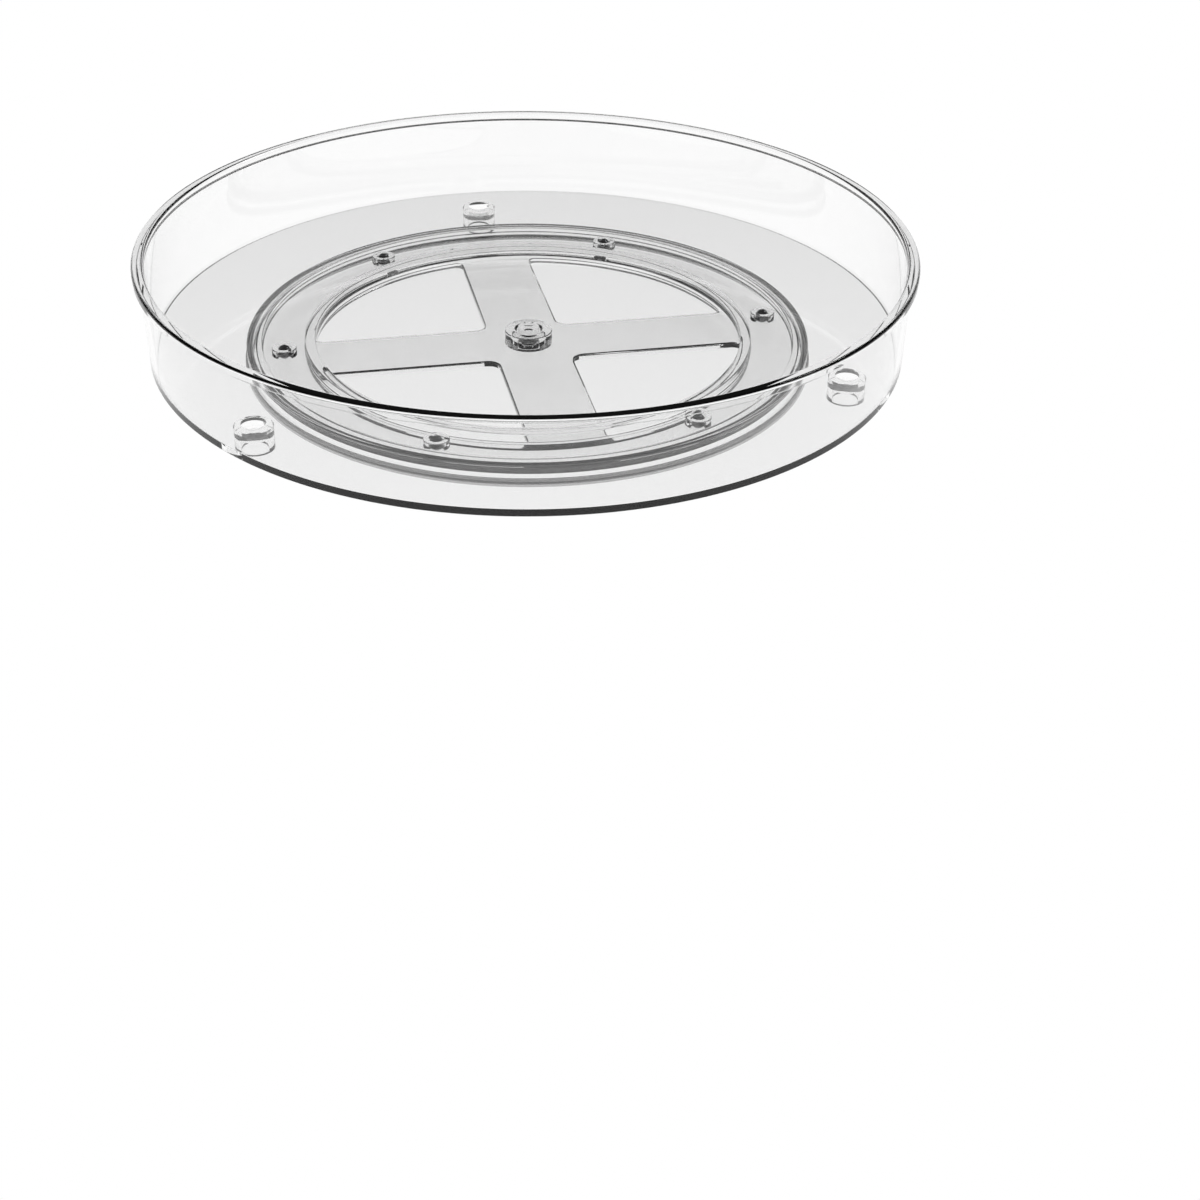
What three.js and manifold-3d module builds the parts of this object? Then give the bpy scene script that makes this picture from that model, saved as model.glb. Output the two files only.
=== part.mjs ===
// A lazy susan turntable in clear moulded plastic. A round tray with a raised wall turns on six
// steel balls, which sit in cups on a low base ring with a four-spoke cross. A snap button holds
// the tray's spigot in the base's hub. Units are millimetres, +Z is up, and the origin is on the
// table under the middle of the base.

import * as THREE from 'three';
import { mergeVertices } from 'three/addons/utils/BufferGeometryUtils.js';
import Module from 'manifold-3d';

const wasm = await Module();
wasm.setup();

// ---- Driving dimensions -------------------------------------------------------------------

const TOUCH_GAP = 0.3;            // left between two pieces that touch in the real object

// Tray: a shallow round pan
const TRAY_DIAMETER = 280;        // over the rim bead
const TRAY_DEPTH = 33.4;          // floor to the top of the rim
const TRAY_FLOOR = 1.9;
const TRAY_WALL = 2.2;
const TRAY_WALL_LEAN = 0.9;       // how much wider the wall is at the bead than at its foot
const TRAY_CORNER = 0.4;          // outside radius between the floor and the wall
const TRAY_INSIDE_CORNER = 0.4;
const BEAD_OVERHANG = 2.1;        // how far the rim bead stands out of the wall
const BEAD_HEIGHT = 3.3;
const BEAD_TOP_ROUND = 1.1;
const BEAD_EDGE_ROUND = 0.6;
const RIM_INSIDE_ROUND = 1.2;     // the rim's top inside edge

// Three tubular sockets for the posts of a second tier, each closed by a web half way down
const SOCKET_COUNT = 3;
const SOCKET_DIAMETER = 13.2;
const SOCKET_RECESS = 8.4;        // the recess above the web, which opens in the tray's floor
const SOCKET_RECESS_DEPTH = 4.1;
const SOCKET_WEB = 1.9;
const SOCKET_BORE = 9.3;          // the bore below the web
const SOCKET_TO_WALL = 11.1;      // from the foot of the tray's wall to the socket's outside
const SOCKET_TO_TABLE = 0.4;
const SOCKET_FIRST_ANGLE = 90;    // degrees from +X

// Base: a stepped ring with an outer rail, a ball channel and an inner rail
const SOCKET_TO_BASE = 9.8;       // from a socket's outside to the base's outside
const OUTER_RAIL_WIDTH = 5.7;
const CHANNEL_WIDTH = 15.3;
const INNER_RAIL_WIDTH = 3.9;
const RAIL_HEIGHT = 5.2;          // from the cross plate's top to the rails' top
const CHANNEL_DEPTH = 2.8;        // from the rails' top to the channel's floor
const BASE_WALL = 2.1;
const RAIL_ROUND = 0.8;
const PLATE_THICKNESS = 2.2;
const PLATE_TO_TABLE = 0.4;

// Cross plate in the middle of the base
const SPOKE_WIDTH = 27;
const WINDOW_INNER_ROUND = 4.5;
const WINDOW_OUTER_ROUND = 3;
const WINDOW_RELIEF = 0.8;        // how far a window is cut in under the inner rail

// Soft ring under the base
const GRIP_HEIGHT = 1.9;
const GRIP_FLOOR = 0.8;           // under the groove that the base's tongue stands in
const GRIP_OUTER_LIP = 0.9;
const GRIP_INNER_LIP = 0.5;
const TONGUE_WIDTH = 1;
const TONGUE_SET_BACK = 0.5;      // from the base's outside to the tongue's outside

// Ball bearing
const BALL_COUNT = 6;
const BALL_DIAMETER = 4.76;
const BALL_SHOWS = 0.8;           // how far a ball stands out of its cup
const CUP_DIAMETER = 9;
const CUP_SEAT = 0.6;             // least plastic under a ball

// Centre pivot
const HUB_DIAMETER = 17.4;
const HUB_BORE = 8.3;
const HUB_MOUTH = 11.8;           // the bore's rounded entry, at the hub's top
const SPIGOT_BORE = 3.4;
const SPIGOT_BORE_DEPTH = 2;
const BUTTON_HEAD = 12;
const BUTTON_HEAD_HEIGHT = 1.1;

const ROUND_STEPS = 72;           // facets round the tray and the base
const SMALL_STEPS = 20;           // facets round the hub, the cups and the sockets
const FILLET_STEPS = 4;
const OVERLAP = 0.5;              // how far shapes that are joined run into each other

// ---- Sizes that follow ----------------------------------------------------------------------

const plateTop = PLATE_TO_TABLE + PLATE_THICKNESS;
const railTop = plateTop + RAIL_HEIGHT;
const channelFloor = railTop - CHANNEL_DEPTH;
const channelUnderside = channelFloor - BASE_WALL;

const ballRadius = BALL_DIAMETER / 2;
const ballTop = railTop + BALL_SHOWS;
const ballCentre = ballTop - ballRadius;
const cupBore = BALL_DIAMETER + 2 * TOUCH_GAP;
const cupSeat = ballTop - BALL_DIAMETER - TOUCH_GAP;
const cupBottom = Math.min(channelUnderside, cupSeat - CUP_SEAT);

const trayUnderside = ballTop + TOUCH_GAP;
const trayFloor = trayUnderside + TRAY_FLOOR;
const rimTop = trayFloor + TRAY_DEPTH;
const rimRadius = TRAY_DIAMETER / 2;
const wallTopRadius = rimRadius - BEAD_OVERHANG;
const wallFootRadius = wallTopRadius - TRAY_WALL_LEAN;
const insideFootRadius = wallFootRadius - TRAY_WALL;

const socketCircle = wallFootRadius - SOCKET_TO_WALL - SOCKET_DIAMETER / 2;
const webTop = trayFloor - SOCKET_RECESS_DEPTH;

const baseRadius = socketCircle - SOCKET_DIAMETER / 2 - SOCKET_TO_BASE;
const channelOutside = baseRadius - OUTER_RAIL_WIDTH;
const channelInside = channelOutside - CHANNEL_WIDTH;
const innerRailInside = channelInside - INNER_RAIL_WIDTH;
const ballCircle = (channelOutside + channelInside) / 2;
const windowRadius = innerRailInside + WINDOW_RELIEF;

const tongueOutside = baseRadius - TONGUE_SET_BACK;
const tongueInside = tongueOutside - TONGUE_WIDTH;
const gripOutside = tongueOutside + TOUCH_GAP + GRIP_OUTER_LIP;
const gripInside = tongueInside - TOUCH_GAP - GRIP_INNER_LIP;

const headBottom = PLATE_TO_TABLE + TOUCH_GAP;
const headTop = headBottom + BUTTON_HEAD_HEIGHT;
const recessTop = headTop + TOUCH_GAP;
const recessDiameter = BUTTON_HEAD + 2 * TOUCH_GAP;
const spigotDiameter = HUB_BORE - 2 * TOUCH_GAP;
const spigotBoreTop = recessTop + SPIGOT_BORE_DEPTH;
const stemDiameter = SPIGOT_BORE - 2 * TOUCH_GAP;
const stemTop = spigotBoreTop - TOUCH_GAP;
const hubMouthRound = (HUB_MOUTH - HUB_BORE) / 2;

// ---- Geometry helpers -----------------------------------------------------------------------

const radians = THREE.MathUtils.degToRad;

// A quarter or other arc in a section, from one angle to another in degrees.
function arc(centreR, centreZ, radius, from, to) {
  return Array.from({ length: FILLET_STEPS + 1 }, (_, i) => {
    const angle = radians(from + (to - from) * i / FILLET_STEPS);
    return [centreR + radius * Math.cos(angle), centreZ + radius * Math.sin(angle)];
  });
}

// Turns a section of [radius, height] points about the Z axis. The points run anticlockwise.
function turned(section, steps) {
  const profile = section.map(([r, z]) => new THREE.Vector2(r, z));
  return new THREE.LatheGeometry(profile, steps).rotateX(Math.PI / 2);
}

// The same for a section that doesn't reach the axis, which is closed on itself.
function turnedRing(section, steps) {
  return turned([...section, section[0]], steps);
}

// An upright cylinder between two heights.
function rod(diameter, bottom, top, steps) {
  return new THREE.CylinderGeometry(diameter / 2, diameter / 2, top - bottom, steps)
    .rotateX(Math.PI / 2)
    .translate(0, 0, (bottom + top) / 2);
}

// Places a copy of an upright shape at each of several points round a circle.
function aroundCircle(geometry, count, radius, firstAngle) {
  return Array.from({ length: count }, (_, i) => {
    const angle = radians(firstAngle + i * 360 / count);
    return geometry.clone().translate(radius * Math.cos(angle), radius * Math.sin(angle), 0);
  });
}

function solid(geometry) {
  const bare = geometry.clone();
  bare.deleteAttribute('normal');
  bare.deleteAttribute('uv');
  const merged = mergeVertices(bare);
  const index = merged.index.array;
  const triangles = [];
  for (let i = 0; i < index.length; i += 3) {
    const [a, b, c] = index.slice(i, i + 3);
    if (a !== b && b !== c && c !== a) triangles.push(a, b, c);
  }
  return new wasm.Manifold(new wasm.Mesh({
    numProp: 3,
    vertProperties: merged.attributes.position.array,
    triVerts: Uint32Array.from(triangles),
  }));
}

function joined(geometries) {
  return geometries.map(solid).reduce((whole, piece) => whole.add(piece));
}

function geometryOf(manifold) {
  const { vertProperties, triVerts } = manifold.getMesh();
  const geometry = new THREE.BufferGeometry();
  geometry.setAttribute('position', new THREE.BufferAttribute(vertProperties, 3));
  geometry.setIndex(new THREE.BufferAttribute(triVerts, 1));
  geometry.computeVertexNormals();
  return geometry;
}

function addMesh(group, name, geometry, material) {
  const mesh = new THREE.Mesh(geometry, material);
  mesh.name = name;
  group.add(mesh);
  return mesh;
}

// ---- Materials ------------------------------------------------------------------------------

const clearPlastic = () => new THREE.MeshStandardMaterial({
  color: 0xf4f7f8,
  roughness: 0.04,
  metalness: 0,
  transparent: true,
  opacity: 0.3,
});
const softPlastic = () => new THREE.MeshStandardMaterial({
  color: 0xdfe3e4,
  roughness: 0.35,
  metalness: 0,
  transparent: true,
  opacity: 0.55,
});
const bearingSteel = () => new THREE.MeshStandardMaterial({
  color: 0xb9bcbf,
  roughness: 0.12,
  metalness: 1,
});

// ---- Tray -----------------------------------------------------------------------------------

// The pan's section: floor underside, rounded corner, leaning wall, rim bead, inside wall, floor.
function panSection() {
  const beadBottom = rimTop - BEAD_HEIGHT;
  const wallInsideTop = wallTopRadius - TRAY_WALL;
  return [
    [0, trayUnderside],
    ...arc(wallFootRadius - TRAY_CORNER, trayUnderside + TRAY_CORNER, TRAY_CORNER, -90, 0),
    [wallTopRadius, beadBottom],
    ...arc(rimRadius - BEAD_EDGE_ROUND, beadBottom + BEAD_EDGE_ROUND, BEAD_EDGE_ROUND, -90, 0),
    ...arc(rimRadius - BEAD_TOP_ROUND, rimTop - BEAD_TOP_ROUND, BEAD_TOP_ROUND, 0, 90),
    ...arc(wallInsideTop + RIM_INSIDE_ROUND, rimTop - RIM_INSIDE_ROUND, RIM_INSIDE_ROUND, 90, 180),
    ...arc(insideFootRadius - TRAY_INSIDE_CORNER, trayFloor + TRAY_INSIDE_CORNER,
      TRAY_INSIDE_CORNER, 0, -90),
    [0, trayFloor],
  ];
}

function makeTray() {
  const tube = rod(SOCKET_DIAMETER, SOCKET_TO_TABLE, trayUnderside + OVERLAP, SMALL_STEPS);
  const recess = rod(SOCKET_RECESS, webTop, trayFloor + OVERLAP, SMALL_STEPS);
  const tubeBore = rod(SOCKET_BORE, SOCKET_TO_TABLE - OVERLAP, webTop - SOCKET_WEB, SMALL_STEPS);
  const spigot = rod(spigotDiameter, recessTop, trayUnderside + OVERLAP, SMALL_STEPS);
  const spigotBore = rod(SPIGOT_BORE, recessTop - OVERLAP, spigotBoreTop, SMALL_STEPS);
  const body = joined([
    turned(panSection(), ROUND_STEPS),
    ...aroundCircle(tube, SOCKET_COUNT, socketCircle, SOCKET_FIRST_ANGLE),
    spigot,
  ]);
  const bores = joined([
    ...aroundCircle(recess, SOCKET_COUNT, socketCircle, SOCKET_FIRST_ANGLE),
    ...aroundCircle(tubeBore, SOCKET_COUNT, socketCircle, SOCKET_FIRST_ANGLE),
    spigotBore,
  ]);
  return geometryOf(body.subtract(bores));
}

// A button pushed into the tray's spigot from below. Its head is wider than the hub's bore.
function makePivotButton() {
  return turned([
    [0, headBottom],
    [BUTTON_HEAD / 2, headBottom],
    [BUTTON_HEAD / 2, headTop],
    [stemDiameter / 2, headTop],
    [stemDiameter / 2, stemTop],
    [0, stemTop],
  ], SMALL_STEPS);
}

// ---- Base -----------------------------------------------------------------------------------

// The stepped ring's section: tongue, outer rail, ball channel, inner rail, and the hollow
// underside of the outer rail.
function baseRingSection() {
  const tongueBottom = GRIP_FLOOR + TOUCH_GAP;
  const shoulder = GRIP_HEIGHT + TOUCH_GAP;
  const railHollowTop = railTop - BASE_WALL;
  return [
    [tongueInside, tongueBottom],
    [tongueOutside, tongueBottom],
    [tongueOutside, shoulder],
    [baseRadius, shoulder],
    ...arc(baseRadius - RAIL_ROUND, railTop - RAIL_ROUND, RAIL_ROUND, 0, 90),
    [channelOutside, railTop],
    [channelOutside, channelFloor],
    [channelInside, channelFloor],
    [channelInside, railTop],
    [innerRailInside, railTop],
    [innerRailInside, PLATE_TO_TABLE],
    [channelInside, PLATE_TO_TABLE],
    [channelInside, channelUnderside],
    [channelOutside + BASE_WALL, channelUnderside],
    [channelOutside + BASE_WALL, railHollowTop],
    [baseRadius - BASE_WALL, railHollowTop],
    [baseRadius - BASE_WALL, shoulder],
    [tongueInside, shoulder],
  ];
}

// One window of the cross: a quarter disc between two spokes with its three corners rounded.
// The outer corners' circles touch the spoke's edge and the window's round side.
function windowShape() {
  const edge = SPOKE_WIDTH / 2;
  const inner = edge + WINDOW_INNER_ROUND;
  const across = edge + WINDOW_OUTER_ROUND;
  const reach = windowRadius - WINDOW_OUTER_ROUND;
  const along = Math.sqrt(reach ** 2 - across ** 2);
  const turn = Math.atan2(across, along);
  const shape = new THREE.Shape();
  shape.moveTo(inner, edge);
  shape.lineTo(along, edge);
  shape.absarc(along, across, WINDOW_OUTER_ROUND, -Math.PI / 2, turn, false);
  shape.absarc(0, 0, windowRadius, turn, Math.PI / 2 - turn, false);
  shape.absarc(across, along, WINDOW_OUTER_ROUND, Math.PI / 2 - turn, Math.PI, false);
  shape.lineTo(edge, inner);
  shape.absarc(inner, inner, WINDOW_INNER_ROUND, Math.PI, 1.5 * Math.PI, false);
  return shape;
}

function windowCutters() {
  const depth = plateTop - PLATE_TO_TABLE + OVERLAP;
  const prism = new THREE.ExtrudeGeometry(windowShape(), {
    depth,
    bevelEnabled: false,
    curveSegments: SMALL_STEPS / 2,
  }).translate(0, 0, plateTop - depth);
  return [0, 1, 2, 3].map((quarter) => prism.clone().rotateZ(quarter * Math.PI / 2));
}

// The hub's section: a plain barrel whose bore opens in a rounded mouth.
function hubSection() {
  const barrel = HUB_DIAMETER / 2;
  const bore = HUB_BORE / 2;
  return [
    [bore, recessTop],
    [barrel, recessTop],
    [barrel, railTop],
    ...arc(bore + hubMouthRound, railTop - hubMouthRound, hubMouthRound, 90, 180),
  ];
}

function makeBase() {
  const plate = rod(2 * (innerRailInside + OVERLAP), PLATE_TO_TABLE, plateTop, ROUND_STEPS);
  const cup = rod(CUP_DIAMETER, cupBottom, railTop, SMALL_STEPS);
  const cupBoreRod = rod(cupBore, cupSeat, railTop + OVERLAP, SMALL_STEPS);
  const hubBore = rod(HUB_BORE, PLATE_TO_TABLE - OVERLAP, plateTop + OVERLAP, SMALL_STEPS);
  const recess = rod(recessDiameter, PLATE_TO_TABLE - OVERLAP, recessTop, SMALL_STEPS);
  const body = joined([
    turnedRing(baseRingSection(), ROUND_STEPS),
    plate,
    ...aroundCircle(cup, BALL_COUNT, ballCircle, 0),
  ]);
  const cuts = joined([
    ...windowCutters(),
    hubBore,
    recess,
    ...aroundCircle(cupBoreRod, BALL_COUNT, ballCircle, 0),
  ]);
  return geometryOf(body.subtract(cuts).add(solid(turnedRing(hubSection(), SMALL_STEPS))));
}

// A soft ring with a groove, which the base's tongue stands in.
function makeGripRing() {
  return turnedRing([
    [gripInside, 0],
    [gripOutside, 0],
    [gripOutside, GRIP_HEIGHT],
    [tongueOutside + TOUCH_GAP, GRIP_HEIGHT],
    [tongueOutside + TOUCH_GAP, GRIP_FLOOR],
    [tongueInside - TOUCH_GAP, GRIP_FLOOR],
    [tongueInside - TOUCH_GAP, GRIP_HEIGHT],
    [gripInside, GRIP_HEIGHT],
  ], ROUND_STEPS);
}

// ---- Assembly -------------------------------------------------------------------------------

function addBase(group) {
  addMesh(group, 'base', makeBase(), clearPlastic());
  addMesh(group, 'grip_ring', makeGripRing(), softPlastic());
}

function addBalls(group) {
  const ball = new THREE.SphereGeometry(ballRadius, 12, 8).rotateX(Math.PI / 2);
  for (let i = 0; i < BALL_COUNT; i += 1) {
    const angle = i * 2 * Math.PI / BALL_COUNT;
    const mesh = addMesh(group, `bearing_ball_${i + 1}`, ball.clone(), bearingSteel());
    mesh.position.set(ballCircle * Math.cos(angle), ballCircle * Math.sin(angle), ballCentre);
    mesh.rotation.z = angle;
  }
}

function addTray(group) {
  addMesh(group, 'tray', makeTray(), clearPlastic());
  addMesh(group, 'pivot_button', makePivotButton(), clearPlastic());
}

const turntable = new THREE.Group();
addBase(turntable);
addBalls(turntable);
addTray(turntable);

export default turntable;
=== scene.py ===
"""A clear plastic lazy susan turntable: the fine surfaces, finishes, light and camera."""

import math
from typing import NamedTuple

import bpy
import numpy as np
from bpy.props import FloatProperty, FloatVectorProperty, PointerProperty
from mathutils import Euler, Matrix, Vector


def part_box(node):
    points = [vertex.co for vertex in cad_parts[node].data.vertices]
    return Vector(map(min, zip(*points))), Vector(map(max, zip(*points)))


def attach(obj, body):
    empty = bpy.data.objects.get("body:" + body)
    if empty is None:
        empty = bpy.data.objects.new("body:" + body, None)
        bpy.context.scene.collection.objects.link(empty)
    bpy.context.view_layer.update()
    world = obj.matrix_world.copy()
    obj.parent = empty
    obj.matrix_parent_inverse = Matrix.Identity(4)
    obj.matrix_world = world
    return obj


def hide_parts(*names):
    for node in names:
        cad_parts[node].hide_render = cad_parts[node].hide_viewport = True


bl_info = {
    "name": "Clear Lazy Susan",
    "version": (1, 0, 0),
    "blender": (4, 5, 0),
    "location": "3D View > Sidebar > Turntable",
    "description": "Builds a clear plastic lazy susan turntable round its packed frame",
    "category": "Add Mesh",
}

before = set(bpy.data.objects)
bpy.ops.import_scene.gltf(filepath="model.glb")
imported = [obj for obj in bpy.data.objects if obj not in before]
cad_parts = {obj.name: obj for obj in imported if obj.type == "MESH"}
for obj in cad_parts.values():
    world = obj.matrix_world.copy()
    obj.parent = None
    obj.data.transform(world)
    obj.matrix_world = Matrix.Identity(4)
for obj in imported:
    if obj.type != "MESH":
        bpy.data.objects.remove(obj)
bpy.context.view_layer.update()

MM = 0.001
TRAY_LOW, TRAY_HIGH = (np.array(corner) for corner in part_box("tray"))
BASE_LOW, BASE_HIGH = (np.array(corner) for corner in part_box("base"))
GRIP_HIGH = np.array(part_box("grip_ring")[1])
BUTTON_LOW, BUTTON_HIGH = (np.array(corner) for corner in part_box("pivot_button"))
BALL_LOW, BALL_HIGH = (np.array(corner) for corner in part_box("bearing_ball_1"))
BALL_CENTRE = (BALL_LOW + BALL_HIGH) / 2
BALL_RADIUS = (BALL_HIGH[2] - BALL_LOW[2]) / 2
BALL_NODES = sorted(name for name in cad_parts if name.startswith("bearing_ball"))

TOUCH_GAP = 0.3 * MM                    # between pieces that run or rest on each other
TRAY_UNDERSIDE = BALL_HIGH[2] + TOUCH_GAP
SOCKETS, FIRST_SOCKET = 3, 90.0         # how many, and the angle of the first in degrees
BEAD_NECK_ROUND = 0.4 * MM              # in the corner where the rim bead meets the wall
SOCKET_EDGE = 0.25 * MM
BUTTON_EDGE = 0.3 * MM
GRIP_EDGE = 0.2 * MM
GRIP_LIP = 0.5 * MM                     # soft ring inside the groove's inner wall

CUT_OVER = 0.5 * MM                     # how far a tool reaches past the face it cuts or joins
FLAT_HOLD = 0.04 * MM
SHARP_ANGLE = math.radians(40.0)        # edges bent more than this stay sharp
LATHE_STEPS = 360
SMALL_STEPS = 96
BALL_STEPS = 48
ARC_STEPS = 8

LIGHT_BOUNCES = 8                       # more let the clear edges glow where they should be dark
FLOOR_HALF = 6.0


# ---- Sizes and finishes that a user may change ------------------------------------------------

def length(name, description, default):
    return FloatProperty(name=name, description=description, default=default * MM, min=0.0,
                         unit="LENGTH", subtype="DISTANCE", precision=5)


def angle(name, description, default):
    return FloatProperty(name=name, description=description, default=math.radians(default),
                         unit="ROTATION", subtype="ANGLE")


def share(name, description, default):
    return FloatProperty(name=name, description=description, default=default, min=0.0, max=1.0,
                         subtype="FACTOR")


def colour(name, description, default):
    return FloatVectorProperty(name=name, description=description, default=default, size=3,
                               min=0.0, max=1.0, subtype="COLOR")


class TurntableTray(bpy.types.PropertyGroup):
    floor: length("Floor", "Thickness of the tray's floor", 1.9)
    wall: length("Wall", "Thickness of the tray's wall", 2.2)
    lean: length("Lean", "How much wider the wall is under the bead than at its foot", 0.9)
    corner: length("Corner", "Outside radius between floor and wall", 0.4)
    inside_corner: length("Inside corner", "Inside radius between floor and wall", 0.4)
    overhang: length("Bead overhang", "How far the rim bead stands out of the wall", 2.1)
    bead: length("Bead height", "Height of the rim bead", 3.3)
    bead_round: length("Bead round", "Radius of the bead's top outside edge", 1.1)
    edge_round: length("Edge round", "Radius of the bead's bottom edge", 0.6)
    inside_round: length("Inside round", "Radius of the rim's top inside edge", 1.2)
    socket: length("Socket", "Outside diameter of a post socket", 13.2)
    socket_recess: length("Socket recess", "Diameter of the recess in the tray's floor", 8.4)
    socket_depth: length("Socket depth", "Depth of the recess", 4.1)
    socket_web: length("Socket web", "Plastic under the recess", 1.9)
    socket_bore: length("Socket bore", "Bore below the web", 9.3)
    socket_to_wall: length("Socket to wall", "From the wall's foot to a socket", 11.1)
    spigot: length("Spigot", "Diameter of the spigot", 7.7)
    spigot_bore: length("Spigot bore", "Bore of the spigot", 3.4)


class TurntableBase(bpy.types.PropertyGroup):
    wall: length("Wall", "Thickness of the base's ring", 2.1)
    outer_rail: length("Outer rail", "Width of the outer rail", 5.7)
    channel: length("Channel", "Width of the ball channel", 15.3)
    channel_depth: length("Channel depth", "Depth of the ball channel", 2.8)
    inner_rail: length("Inner rail", "Width of the inner rail", 3.9)
    plate: length("Plate", "Thickness of the cross", 2.2)
    spoke: length("Spoke", "Width of a spoke", 27)
    window_inner: length("Window inner corner", "Radius of a window's corner by the hub", 4.5)
    window_outer: length("Window outer corners", "Radius of a window's corners by the rail", 3)
    window_relief: length("Window relief", "How far a window runs in under the inner rail", 0.8)
    rail_round: length("Rail round", "Radius of the outer rail's outside edge", 0.8)
    edge: length("Edge", "Small radius on the other edges", 0.3)
    hub: length("Hub", "Diameter of the hub", 17.4)
    hub_bore: length("Hub bore", "Bore of the hub", 8.3)
    hub_mouth: length("Hub mouth", "Width of the hub's rounded mouth", 11.8)
    recess: length("Button recess", "Width of the recess for the button's head", 12.6)
    recess_top: length("Recess top", "Height of the top of the button's recess", 2.1)
    cup: length("Cup", "Outside diameter of a ball's cup", 9)
    cup_play: length("Cup play", "Gap round a ball in its cup", 0.3)
    tongue: length("Tongue", "Width of the tongue in the soft ring", 1)
    tongue_back: length("Tongue set back", "From the base's outside to the tongue", 0.5)
    groove_floor: length("Groove floor", "Soft ring under the tongue", 0.8)


class TurntableFinish(bpy.types.PropertyGroup):
    tint: colour("Tint", "Colour of the clear plastic", (0.998, 0.998, 0.998))
    grip: colour("Grip", "Colour of the soft ring", (0.263, 0.263, 0.263))
    steel: colour("Steel", "Colour of the balls", (0.17, 0.172, 0.176))
    ior: FloatProperty(name="IOR", description="How much the plastic bends light",
                       default=1.49, min=1.0, max=2.0)
    polish: share("Polish", "Roughness of a clean polished face", 0.0)


class TurntableStage(bpy.types.PropertyGroup):
    distance: FloatProperty(name="Camera distance", description="From the turntable's middle",
                            default=0.7347, unit="LENGTH", subtype="DISTANCE")
    azimuth: angle("Camera azimuth", "0 looks along +Y, 90 along -X", -9.957)
    elevation: angle("Camera elevation", "Above the horizon", 25.554)
    pan: angle("Pan", "How far the camera is turned right of the turntable", 2.438)
    tilt: angle("Tilt", "How far the camera looks down", 32.769)
    roll: angle("Roll", "How far the camera leans", 1.05)
    lens: FloatProperty(name="Lens", description="Focal length", default=58.8, unit="CAMERA")
    floor: colour("Floor", "Colour of the floor", (1.0, 1.0, 1.0))


PROPERTY_GROUPS = {
    "turntable_tray": TurntableTray,
    "turntable_base": TurntableBase,
    "turntable_finish": TurntableFinish,
    "turntable_stage": TurntableStage,
}


# ---- Surfaces -----------------------------------------------------------------------------------

def arc(centre, radius, start, stop, steps=ARC_STEPS):
    """Points on a circle: centre + radius * (cos a, sin a), for a from start to stop degrees."""
    turn = np.radians(np.linspace(start, stop, steps + 1))
    return np.asarray(centre) + radius * np.column_stack([np.cos(turn), np.sin(turn)])


def rounded(corners):
    """A section from (radius, height, corner round) rows. Each round is a circle that touches
    both edges: its centre lies on their bisector, round / sin(half angle) from the corner.
    A point just before and just after each round keeps the shading of the flats beside it flat."""
    rows = np.array(corners, float)
    points = []
    for before, here, after in zip(np.roll(rows, 1, 0), rows, np.roll(rows, -1, 0)):
        corner, radius = here[:2], here[2]
        if radius == 0.0:
            points.append(corner[None])
            continue
        back = (before[:2] - corner) / np.linalg.norm(before[:2] - corner)
        on = (after[:2] - corner) / np.linalg.norm(after[:2] - corner)
        half = math.acos(np.clip(back @ on, -1.0, 1.0)) / 2
        centre = corner + (back + on) / np.linalg.norm(back + on) * radius / math.sin(half)
        first = corner + back * radius / math.tan(half) - centre
        last = corner + on * radius / math.tan(half) - centre
        sweep = math.atan2(first[0] * last[1] - first[1] * last[0], first @ last)
        turn = math.atan2(first[1], first[0]) + np.linspace(0.0, sweep, ARC_STEPS + 1)
        points += [[centre + first + back * FLAT_HOLD],
                   centre + radius * np.column_stack([np.cos(turn), np.sin(turn)]),
                   [centre + last + on * FLAT_HOLD]]
    return np.concatenate(points)


def revolve(section, steps=LATHE_STEPS):
    """A section turned about Z: its point (r, z) at angle a goes to (r cos a, r sin a, z).
    A section whose ends are on the axis closes in poles there, any other closes on itself."""
    section = np.asarray(section, float)
    on_axis = section[0, 0] < 1e-9
    ring = section[1:-1] if on_axis else section
    turn = np.linspace(0.0, 2 * math.pi, steps, endpoint=False)
    count = len(ring)
    points = np.empty((steps, count, 3))
    points[..., 0] = np.cos(turn)[:, None] * ring[:, 0]
    points[..., 1] = np.sin(turn)[:, None] * ring[:, 0]
    points[..., 2] = ring[:, 1]
    j = np.arange(steps)[:, None]
    following = (j + 1) % steps
    i = np.arange(count - 1 if on_axis else count)[None]
    up = (i + 1) % count
    quads = np.stack([j * count + i, following * count + i, following * count + up,
                      j * count + up], -1).reshape(-1, 4).tolist()
    points = points.reshape(-1, 3)
    if on_axis:
        low, high = len(points), len(points) + 1
        poles = [[0.0, 0.0, section[0, 1]], [0.0, 0.0, section[-1, 1]]]
        points = np.concatenate([points, poles])
        j, following = j.ravel(), following.ravel()
        top = count - 1
        quads += np.stack([np.full(steps, low), following * count, j * count], -1).tolist()
        quads += np.stack([j * count + top, following * count + top, np.full(steps, high)],
                          -1).tolist()
    return points, quads


def loft(outlines):
    """Closed outlines of equal count, lowest first, joined level by level and capped."""
    levels, count = len(outlines), len(outlines[0])
    points = np.concatenate(outlines)
    j = np.arange(count)[None]
    following = (j + 1) % count
    i = np.arange(levels - 1)[:, None] * count
    sides = np.stack([i + j, i + following, i + count + following, i + count + j],
                     -1).reshape(-1, 4).tolist()
    bottom = list(range(count))[::-1]
    top = list(range((levels - 1) * count, levels * count))
    return points, sides + [bottom, top]


def moved(shape, offset):
    """A shape with the same offset added to every point."""
    points, faces = shape
    return points + np.asarray(offset), faces


def turned(shape, degrees):
    """A shape turned about Z: (x, y) goes to (c x - s y, s x + c y)."""
    points, faces = shape
    c, s = math.cos(math.radians(degrees)), math.sin(math.radians(degrees))
    return points @ np.array([[c, s, 0], [-s, c, 0], [0, 0, 1]]), faces


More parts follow.
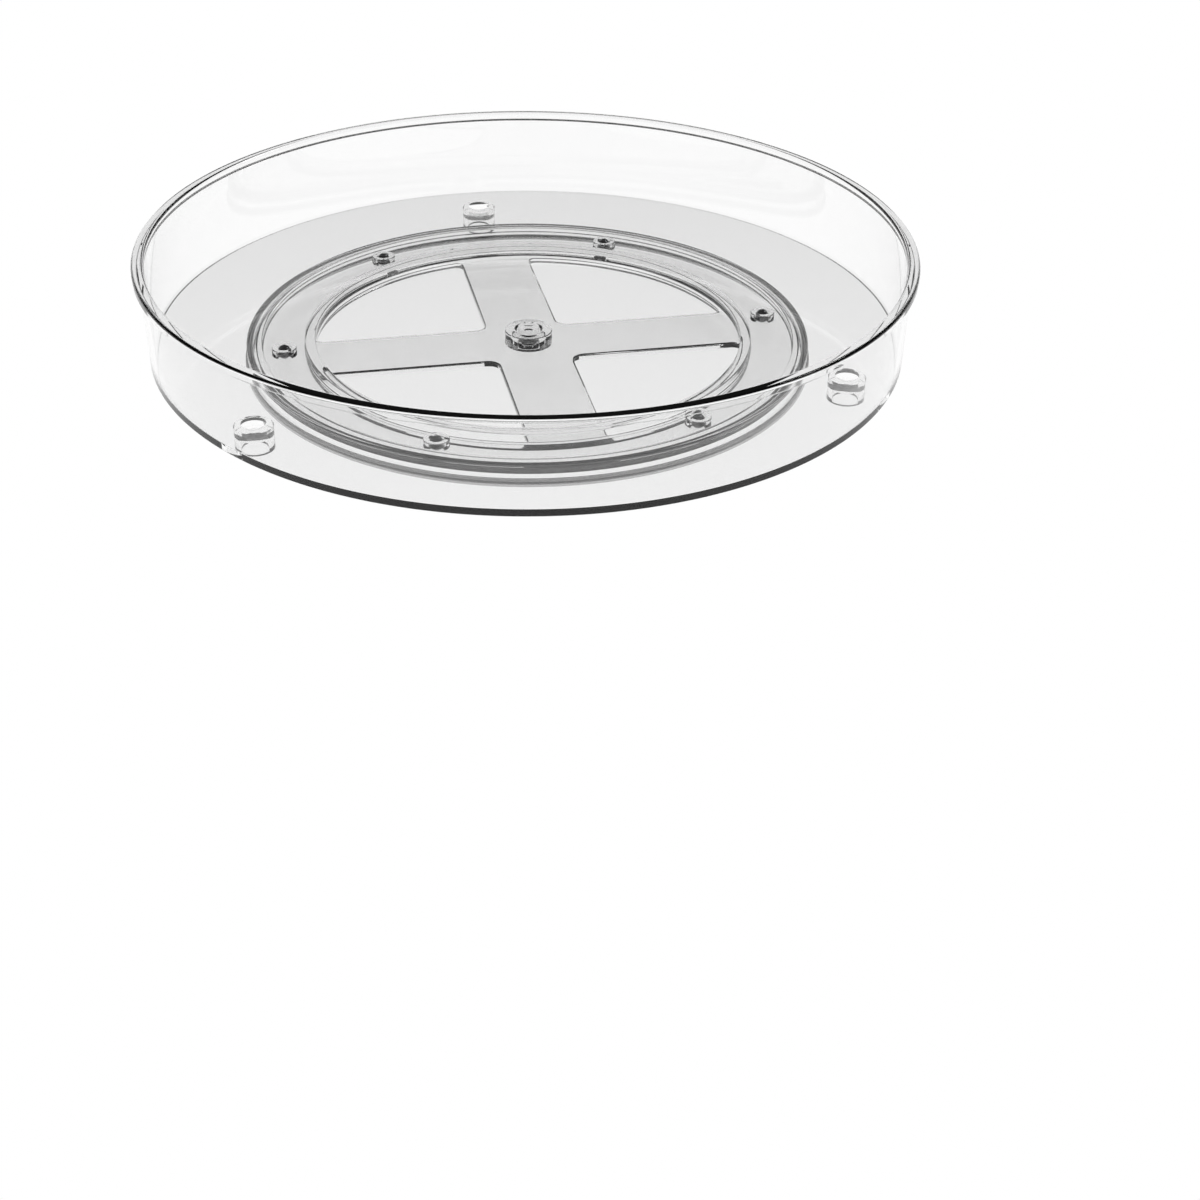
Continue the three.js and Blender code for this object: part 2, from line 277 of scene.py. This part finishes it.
def together(shapes):
    """Several separate shapes as one."""
    points, faces, start = [], [], 0
    for shape_points, shape_faces in shapes:
        points.append(shape_points)
        faces += [[start + v for v in face] for face in shape_faces]
        start += len(shape_points)
    return np.concatenate(points), faces


def round_circle(shape, count, radius, first=0.0):
    """Copies of a shape at even steps round a circle, the first at angle first in degrees."""
    return [moved(shape, (radius * math.cos(a), radius * math.sin(a), 0.0))
            for a in math.radians(first) + np.arange(count) * 2 * math.pi / count]


def rod(radius, bottom, top, steps=SMALL_STEPS):
    """An upright cylinder."""
    return revolve([(0, bottom), (radius, bottom), (radius, top), (0, top)], steps)


def boss(radius, bottom, top, edge):
    """An upright cylinder with its top edge rounded."""
    return revolve(rounded([(0, bottom, 0), (radius, bottom, 0), (radius, top, edge),
                            (0, top, 0)]), SMALL_STEPS)


def new_object(name, shape):
    """An object at the origin from a shape, which is a pair of points and faces."""
    points, faces = shape
    mesh = bpy.data.meshes.new(name)
    mesh.from_pydata(points.tolist(), [], faces)
    mesh.validate()
    piece = bpy.data.objects.new(name, mesh)
    bpy.context.collection.objects.link(piece)
    return piece


def combine(name, body, steps):
    """A body with other shapes added or cut, in order, each step an (operation, shape) pair."""
    piece = new_object(name, body)
    tools = []
    for operation, shape in steps:
        tools.append(new_object(f"{name}_tool", shape))
        change = piece.modifiers.new(operation, "BOOLEAN")
        change.operation = operation
        change.solver = "MANIFOLD"
        change.object = tools[-1]
    bpy.context.view_layer.update()
    graph = bpy.context.evaluated_depsgraph_get()
    mesh = bpy.data.meshes.new_from_object(piece.evaluated_get(graph))
    piece.modifiers.clear()
    piece.data = mesh
    mesh.name = name
    for tool in tools:
        bpy.data.objects.remove(tool)
    return piece


def finish_piece(piece, body, slot, material, *nodes):
    """Smooths a piece over its gentle edges, gives it its finish and puts it in the frame."""
    piece.data.shade_smooth()
    piece.data.set_sharp_from_angle(angle=SHARP_ANGLE)
    piece.data.materials.clear()
    piece.data.materials.append(material)
    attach(piece, body)
    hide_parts(*nodes)


# ---- Sections of the pieces -----------------------------------------------------------------

def tray_section(tray):
    """The pan: floor underside, rounded corner, leaning wall, rim bead, inside wall, floor."""
    rim, top = TRAY_HIGH[0], TRAY_HIGH[2]
    under = TRAY_UNDERSIDE
    wall_top = rim - tray.overhang
    foot = wall_top - tray.lean
    floor = under + tray.floor
    bead = top - tray.bead
    return rounded([
        (0, under, 0), (foot, under, tray.corner), (wall_top, bead, BEAD_NECK_ROUND),
        (rim, bead, tray.edge_round), (rim, top, tray.bead_round),
        (wall_top - tray.wall, top, tray.inside_round),
        (foot - tray.wall, floor, tray.inside_corner), (0, floor, 0),
    ])


class BaseRadii(NamedTuple):
    """Radii of the base's walls and of the tongue under its outer rail."""
    outside: float
    channel_out: float
    channel_in: float
    rail_in: float
    tongue_out: float
    tongue_in: float


def base_radii(base):
    """The base's radii, worked out from its outside inwards."""
    outside = BASE_HIGH[0]
    channel_out = outside - base.outer_rail
    channel_in = channel_out - base.channel
    rail_in = channel_in - base.inner_rail
    tongue_out = outside - base.tongue_back
    tongue_in = tongue_out - base.tongue
    return BaseRadii(outside, channel_out, channel_in, rail_in, tongue_out, tongue_in)


def base_section(base):
    """The ring: tongue, outer rail, ball channel, inner rail, and the hollow underneath."""
    outside, channel_out, channel_in, rail_in, tongue_out, tongue_in = base_radii(base)
    top, bottom = BASE_HIGH[2], BASE_LOW[2]
    channel = top - base.channel_depth
    under = channel - base.wall
    hollow = top - base.wall
    tongue = base.groove_floor + TOUCH_GAP
    shoulder = GRIP_HIGH[2] + TOUCH_GAP
    e = base.edge
    return rounded([
        (tongue_in, tongue, e), (tongue_out, tongue, e), (tongue_out, shoulder, e / 2),
        (outside, shoulder, e / 2), (outside, top, base.rail_round), (channel_out, top, e),
        (channel_out, channel, e), (channel_in, channel, e), (channel_in, top, e),
        (rail_in, top, e), (rail_in, bottom, e), (channel_in, bottom, e),
        (channel_in, under, e), (channel_out + base.wall, under, e),
        (channel_out + base.wall, hollow, e), (outside - base.wall, hollow, e),
        (outside - base.wall, shoulder, e / 3), (tongue_in, shoulder, e / 3),
    ])


def window_outline(base, height, grown):
    """A quarter disc between two spokes with three round corners, grown outwards by grown.
    The outer corners' circles touch the spoke's edge and the window's round side."""
    edge = base.spoke / 2 - grown
    radius = base_radii(base).rail_in + base.window_relief + grown
    outer = base.window_outer + grown
    inner = base.window_inner + grown
    across = edge + outer
    along = math.sqrt((radius - outer) ** 2 - across ** 2)
    turn = math.degrees(math.atan2(across, along))
    flat = np.concatenate([
        arc((along, across), outer, -90, turn),
        arc((0, 0), radius, turn, 90 - turn, 6 * ARC_STEPS)[1:-1],
        arc((across, along), outer, 90 - turn, 180),
        arc((edge + inner, edge + inner), inner, 180, 270),
    ])
    return np.column_stack([flat, np.full(len(flat), height)])


def window_cutter(base):
    """A window's outline lofted through the plate, wider at both faces for a broken edge."""
    bottom = BASE_LOW[2]
    top = bottom + base.plate
    edge = base.edge
    levels = [(bottom - edge, 2 * edge), (bottom + edge, 0.0), (top - edge, 0.0), (top, edge)]
    return loft([window_outline(base, height, grown) for height, grown in levels])


def hub_bore_cutter(base):
    """The hub's bore with its rounded mouth above and the button's recess below."""
    bore, mouth = base.hub_bore / 2, base.hub_mouth / 2
    flare = mouth - bore
    bottom, top = BASE_LOW[2], BASE_HIGH[2]
    return revolve(np.concatenate([
        [(0, bottom - CUT_OVER), (base.recess / 2, bottom - CUT_OVER),
         (base.recess / 2, base.recess_top), (bore, base.recess_top)],
        arc((mouth, top - flare), flare, 180, 90),
        [(mouth, top + CUT_OVER), (0, top + CUT_OVER)],
    ]), SMALL_STEPS)


# ---- Shader maths -------------------------------------------------------------------------------

class Socket:
    """A shader socket that maths can be written with."""

    def __init__(self, tree, socket):
        self.tree = tree
        self.socket = socket

    def maths(self, operation, *values):
        made = self.tree.nodes.new("ShaderNodeMath")
        made.operation = operation
        for slot, value in zip(made.inputs, values):
            put(self.tree, slot, value)
        return Socket(self.tree, made.outputs[0])

    def __add__(self, other):
        return self.maths("ADD", self, other)

    def __radd__(self, other):
        return self.maths("ADD", other, self)

    def __sub__(self, other):
        return self.maths("SUBTRACT", self, other)

    def __rsub__(self, other):
        return self.maths("SUBTRACT", other, self)

    def __mul__(self, other):
        return self.maths("MULTIPLY", self, other)

    def __rmul__(self, other):
        return self.maths("MULTIPLY", other, self)

    def between(self, low, high):
        """0 below low, 1 above high, and smooth between them."""
        made = add_node(self.tree, "ShaderNodeMapRange",
                        {"interpolation_type": "SMOOTHSTEP"}, Value=self,
                        From_Min=low, From_Max=high)
        return made["Result"]


def put(tree, slot, value):
    """Sets an input to a value, or links a socket to it."""
    if isinstance(value, Socket):
        tree.links.new(value.socket, slot)
    else:
        slot.default_value = value


def add_node(tree, kind, settings=(), **inputs):
    """A node of a kind, with its settings and inputs. Returns its outputs by name."""
    made = tree.nodes.new(kind)
    for name, value in dict(settings).items():
        setattr(made, name, value)
    for name, value in inputs.items():
        put(tree, made.inputs[name.replace("_", " ")], value)
    return {out.name: Socket(tree, out) for out in made.outputs if out.enabled}


def new_material(name):
    """A material with one Principled shader. Returns it, its node tree and the shader's inputs."""
    material = bpy.data.materials.new(name)
    material.use_nodes = True
    tree = material.node_tree
    tree.nodes.clear()
    shader = tree.nodes.new("ShaderNodeBsdfPrincipled")
    out = tree.nodes.new("ShaderNodeOutputMaterial")
    tree.links.new(shader.outputs[0], out.inputs[0])
    return material, tree, shader.inputs


def noise(tree, scale, detail):
    """Noise on the object's own coordinates, scale bumps to the metre."""
    place = add_node(tree, "ShaderNodeTexCoord")["Object"]
    return add_node(tree, "ShaderNodeTexNoise", Vector=place, Scale=scale, Detail=detail)["Fac"]


def bump(tree, height, strength, distance):
    return add_node(tree, "ShaderNodeBump", Strength=strength, Distance=distance,
                    Height=height)["Normal"]


def clear_plastic(name):
    """Polished clear moulding: faint flow waves, and a haze of fine handling marks."""
    settings = bpy.context.scene.turntable_finish
    material, tree, shader = new_material(name)
    handled = noise(tree, scale=35.0, detail=4.0).between(0.62, 0.8)
    marks = noise(tree, scale=900.0, detail=2.0).between(0.66, 0.74) * handled
    waves = noise(tree, scale=14.0, detail=1.0)
    mark_roughness = 0.03
    put(tree, shader["Base Color"], (*settings.tint, 1.0))
    put(tree, shader["Roughness"], settings.polish + mark_roughness * marks)
    put(tree, shader["IOR"], settings.ior)
    put(tree, shader["Transmission Weight"], 1.0)
    put(tree, shader["Normal"], bump(tree, waves, strength=0.02, distance=1.0 * MM))
    return material


def soft_grip():
    """See-through soft elastomer, satin and smoke grey."""
    material, tree, shader = new_material("Soft clear grip")
    grain = noise(tree, scale=1600.0, detail=3.0)
    smoothest, grain_roughness, elastomer_ior = 0.18, 0.1, 1.48
    put(tree, shader["Base Color"], (*bpy.context.scene.turntable_finish.grip, 1.0))
    put(tree, shader["Roughness"], smoothest + grain_roughness * grain)
    put(tree, shader["IOR"], elastomer_ior)
    put(tree, shader["Transmission Weight"], 1.0)
    put(tree, shader["Normal"], bump(tree, grain, strength=0.1, distance=0.1 * MM))
    return material


def ball_steel():
    """Polished bearing steel with fine running marks."""
    material, tree, shader = new_material("Bearing steel")
    marks = noise(tree, scale=2500.0, detail=3.0)
    smoothest, mark_roughness = 0.08, 0.1
    put(tree, shader["Base Color"], (*bpy.context.scene.turntable_finish.steel, 1.0))
    put(tree, shader["Metallic"], 1.0)
    put(tree, shader["Roughness"], smoothest + mark_roughness * marks)
    put(tree, shader["Normal"], bump(tree, marks, strength=0.05, distance=0.05 * MM))
    return material


# ---- Operators ----------------------------------------------------------------------------------

class OBJECT_OT_turntable_tray(bpy.types.Operator):
    """Make the clear tray with its post sockets and spigot"""
    bl_idname = "object.turntable_tray"
    bl_label = "Tray"

    def execute(self, context):
        tray = context.scene.turntable_tray
        bottom = TRAY_LOW[2]
        joined = TRAY_UNDERSIDE + CUT_OVER
        foot = TRAY_HIGH[0] - tray.overhang - tray.lean
        socket = tray.socket / 2
        circle = foot - tray.socket_to_wall - socket
        floor = TRAY_UNDERSIDE + tray.floor
        web_top = floor - tray.socket_depth
        leg = revolve(rounded([(0, bottom, 0), (socket, bottom, SOCKET_EDGE),
                               (socket, joined, 0), (0, joined, 0)]), SMALL_STEPS)
        recess = rod(tray.socket_recess / 2, web_top, floor + CUT_OVER)
        leg_bore = rod(tray.socket_bore / 2, bottom - CUT_OVER, web_top - tray.socket_web)
        spigot_bottom = context.scene.turntable_base.recess_top
        spigot = rod(tray.spigot / 2, spigot_bottom, joined)
        spigot_bore = rod(tray.spigot_bore / 2, spigot_bottom - CUT_OVER,
                          BUTTON_HIGH[2] + TOUCH_GAP)
        legs, recesses, leg_bores = (round_circle(shape, SOCKETS, circle, FIRST_SOCKET)
                                     for shape in (leg, recess, leg_bore))
        piece = combine("clear_tray", revolve(tray_section(tray)), [
            ("UNION", together([*legs, spigot])),
            ("DIFFERENCE", together([*recesses, *leg_bores, spigot_bore])),
        ])
        finish_piece(piece, "turning_tray", "clear_tray", clear_plastic("Clear tray plastic"),
                     "tray")
        return {"FINISHED"}


class OBJECT_OT_turntable_button(bpy.types.Operator):
    """Make the snap button that holds the tray on the base"""
    bl_idname = "object.turntable_button"
    bl_label = "Pivot button"

    def execute(self, context):
        bottom, top = BUTTON_LOW[2], BUTTON_HIGH[2]
        head = BUTTON_HIGH[0]
        head_top = context.scene.turntable_base.recess_top - TOUCH_GAP
        stem = context.scene.turntable_tray.spigot_bore / 2 - TOUCH_GAP
        shape = revolve(rounded([
            (0, bottom, 0), (head, bottom, BUTTON_EDGE), (head, head_top, BUTTON_EDGE),
            (stem, head_top, BUTTON_EDGE), (stem, top, BUTTON_EDGE), (0, top, 0),
        ]), SMALL_STEPS)
        piece = new_object("snap_button", shape)
        finish_piece(piece, "turning_tray", "clear_button",
                     clear_plastic("Clear button plastic"), "pivot_button")
        return {"FINISHED"}


class OBJECT_OT_turntable_base(bpy.types.Operator):
    """Make the clear base: ring, ball cups, cross and hub"""
    bl_idname = "object.turntable_base"
    bl_label = "Base"

    def execute(self, context):
        base = context.scene.turntable_base
        bottom, top = BASE_LOW[2], BASE_HIGH[2]
        cup = boss(base.cup / 2, top - base.channel_depth - base.wall, top, base.edge)
        cup_bore = rod(BALL_RADIUS + base.cup_play, BALL_LOW[2] - TOUCH_GAP, top + CUT_OVER)
        hub = boss(base.hub / 2, base.recess_top - CUT_OVER, top, base.edge)
        plate = rod(base_radii(base).rail_in + CUT_OVER, bottom, bottom + base.plate, LATHE_STEPS)
        window = window_cutter(base)
        windows = [turned(window, quarter) for quarter in (0, 90, 180, 270)]
        cups, cup_bores = (round_circle(shape, len(BALL_NODES), BALL_CENTRE[0])
                           for shape in (cup, cup_bore))
        piece = combine("clear_base", revolve(base_section(base)), [
            ("UNION", plate),
            ("UNION", together([hub, *cups])),
            ("DIFFERENCE", together([*windows, hub_bore_cutter(base), *cup_bores])),
        ])
        finish_piece(piece, "stand", "clear_base", clear_plastic("Clear base plastic"), "base")
        return {"FINISHED"}


class OBJECT_OT_turntable_grip(bpy.types.Operator):
    """Make the soft ring under the base"""
    bl_idname = "object.turntable_grip"
    bl_label = "Grip ring"

    def execute(self, context):
        base = context.scene.turntable_base
        radii = base_radii(base)
        outside, top = GRIP_HIGH[0], GRIP_HIGH[2]
        groove_out, groove_in = radii.tongue_out + TOUCH_GAP, radii.tongue_in - TOUCH_GAP
        inside = groove_in - GRIP_LIP
        shape = revolve(rounded([(radius, height, GRIP_EDGE) for radius, height in [
            (inside, 0), (outside, 0), (outside, top), (groove_out, top),
            (groove_out, base.groove_floor), (groove_in, base.groove_floor),
            (groove_in, top), (inside, top),
        ]]))
        piece = new_object("soft_grip_ring", shape)
        finish_piece(piece, "stand", "soft_grip", soft_grip(), "grip_ring")
        return {"FINISHED"}


class OBJECT_OT_turntable_balls(bpy.types.Operator):
    """Make the steel balls of the bearing"""
    bl_idname = "object.turntable_balls"
    bl_label = "Bearing balls"

    def execute(self, context):
        material = ball_steel()
        section = arc((0, BALL_CENTRE[2]), BALL_RADIUS, -90, 90, BALL_STEPS // 2)
        section[[0, -1], 0] = 0.0
        balls = round_circle(revolve(section, BALL_STEPS), len(BALL_NODES), BALL_CENTRE[0])
        for number, (node, shape) in enumerate(zip(BALL_NODES, balls), 1):
            piece = new_object(f"steel_ball_{number}", shape)
            finish_piece(piece, f"ball_{number}", "ball_steel", material, node)
        return {"FINISHED"}


class OBJECT_OT_turntable_stage(bpy.types.Operator):
    """Make the floor, the lights and the camera"""
    bl_idname = "object.turntable_stage"
    bl_label = "Stage"

    def execute(self, context):
        settings = context.scene.turntable_stage
        make_floor(settings)
        make_world(context.scene)
        make_softbox()
        make_camera(context.scene, settings)
        return {"FINISHED"}


def make_floor(settings):
    """A large square that glows evenly, so nothing throws a shadow on it."""
    corners = FLOOR_HALF * np.array([(-1, -1, 0), (1, -1, 0), (1, 1, 0), (-1, 1, 0)])
    floor = new_object("floor", (corners, [[0, 1, 2, 3]]))
    material, tree, shader = new_material("Pale floor")
    put(tree, shader["Base Color"], (0.0, 0.0, 0.0, 1.0))
    put(tree, shader["Specular IOR Level"], 0.0)
    put(tree, shader["Emission Color"], (*settings.floor, 1.0))
    put(tree, shader["Emission Strength"], 1.0)
    floor.data.materials.append(material)


def make_world(scene):
    """Light by the height of its direction, 0 at the horizon and 1 straight up: pale at the
    horizon, nearly dark above it, and brighter below, to match the floor where that ends."""
    below_gain, above_loss = 0.25, 0.93
    world = bpy.data.worlds.new("Studio")
    scene.world = world
    world.use_nodes = True
    tree = world.node_tree
    tree.nodes.clear()
    direction = add_node(tree, "ShaderNodeTexCoord")["Generated"]
    height = add_node(tree, "ShaderNodeSeparateXYZ", Vector=direction)["Z"]
    above = height.between(0.02, 0.12)
    below = 1.0 - height.between(-0.01, 0.01)
    back = add_node(tree, "ShaderNodeBackground",
                    Strength=1.0 + below_gain * below - above_loss * above)
    out = tree.nodes.new("ShaderNodeOutputWorld")
    tree.links.new(back["Background"].socket, out.inputs[0])


def make_softbox():
    """A square light from above on the right that faces the turntable."""
    lamp = bpy.data.lights.new("side softbox", "AREA")
    lamp.shape = "SQUARE"
    lamp.size = 0.4
    lamp.energy = 2.0
    made = bpy.data.objects.new("side softbox", lamp)
    made.location = (1.1, 0.5, 1.3)
    made.rotation_mode = "QUATERNION"
    made.rotation_quaternion = made.location.to_track_quat("Z", "Y")
    bpy.context.collection.objects.link(made)


def make_camera(scene, settings):
    """A camera on a sphere round the turntable, then turned, tilted and leaned."""
    camera = bpy.data.cameras.new("camera")
    camera.lens = settings.lens
    camera.clip_start, camera.clip_end = 0.01, 50.0
    holder = bpy.data.objects.new("camera", camera)
    flat = settings.distance * math.cos(settings.elevation)
    holder.location = (flat * math.sin(settings.azimuth), -flat * math.cos(settings.azimuth),
                       settings.distance * math.sin(settings.elevation))
    heading = settings.azimuth - settings.pan
    holder.rotation_mode = "XYZ"
    level = Euler((math.pi / 2 - settings.tilt, 0.0, heading)).to_matrix()
    holder.rotation_euler = (level @ Matrix.Rotation(settings.roll, 3, "Z")).to_euler()
    bpy.context.collection.objects.link(holder)
    scene.camera = holder


class VIEW3D_PT_turntable(bpy.types.Panel):
    """The turntable's settings and the buttons that make its pieces"""
    bl_label = "Turntable"
    bl_idname = "VIEW3D_PT_turntable"
    bl_space_type = "VIEW_3D"
    bl_region_type = "UI"
    bl_category = "Turntable"

    def draw(self, context):
        for group in PROPERTY_GROUPS:
            settings = getattr(context.scene, group)
            box = self.layout.box()
            for name in settings.__annotations__:
                box.prop(settings, name)
        for operator in OPERATORS:
            self.layout.operator(operator.bl_idname)


OPERATORS = (
    OBJECT_OT_turntable_stage,
    OBJECT_OT_turntable_tray,
    OBJECT_OT_turntable_button,
    OBJECT_OT_turntable_base,
    OBJECT_OT_turntable_grip,
    OBJECT_OT_turntable_balls,
)


def register():
    for kind in (*PROPERTY_GROUPS.values(), *OPERATORS, VIEW3D_PT_turntable):
        bpy.utils.register_class(kind)
    for name, kind in PROPERTY_GROUPS.items():
        setattr(bpy.types.Scene, name, PointerProperty(type=kind))


def unregister():
    for name in PROPERTY_GROUPS:
        delattr(bpy.types.Scene, name)
    for kind in reversed((*PROPERTY_GROUPS.values(), *OPERATORS, VIEW3D_PT_turntable)):
        bpy.utils.unregister_class(kind)


def main():
    register()
    bpy.context.scene.view_settings.view_transform = "Standard"
    cycles = bpy.context.scene.cycles
    cycles.max_bounces = LIGHT_BOUNCES
    cycles.transmission_bounces = LIGHT_BOUNCES
    cycles.glossy_bounces = LIGHT_BOUNCES
    for operator in OPERATORS:
        group, name = operator.bl_idname.split(".")
        getattr(getattr(bpy.ops, group), name)()


if __name__ == "__main__":
    main()
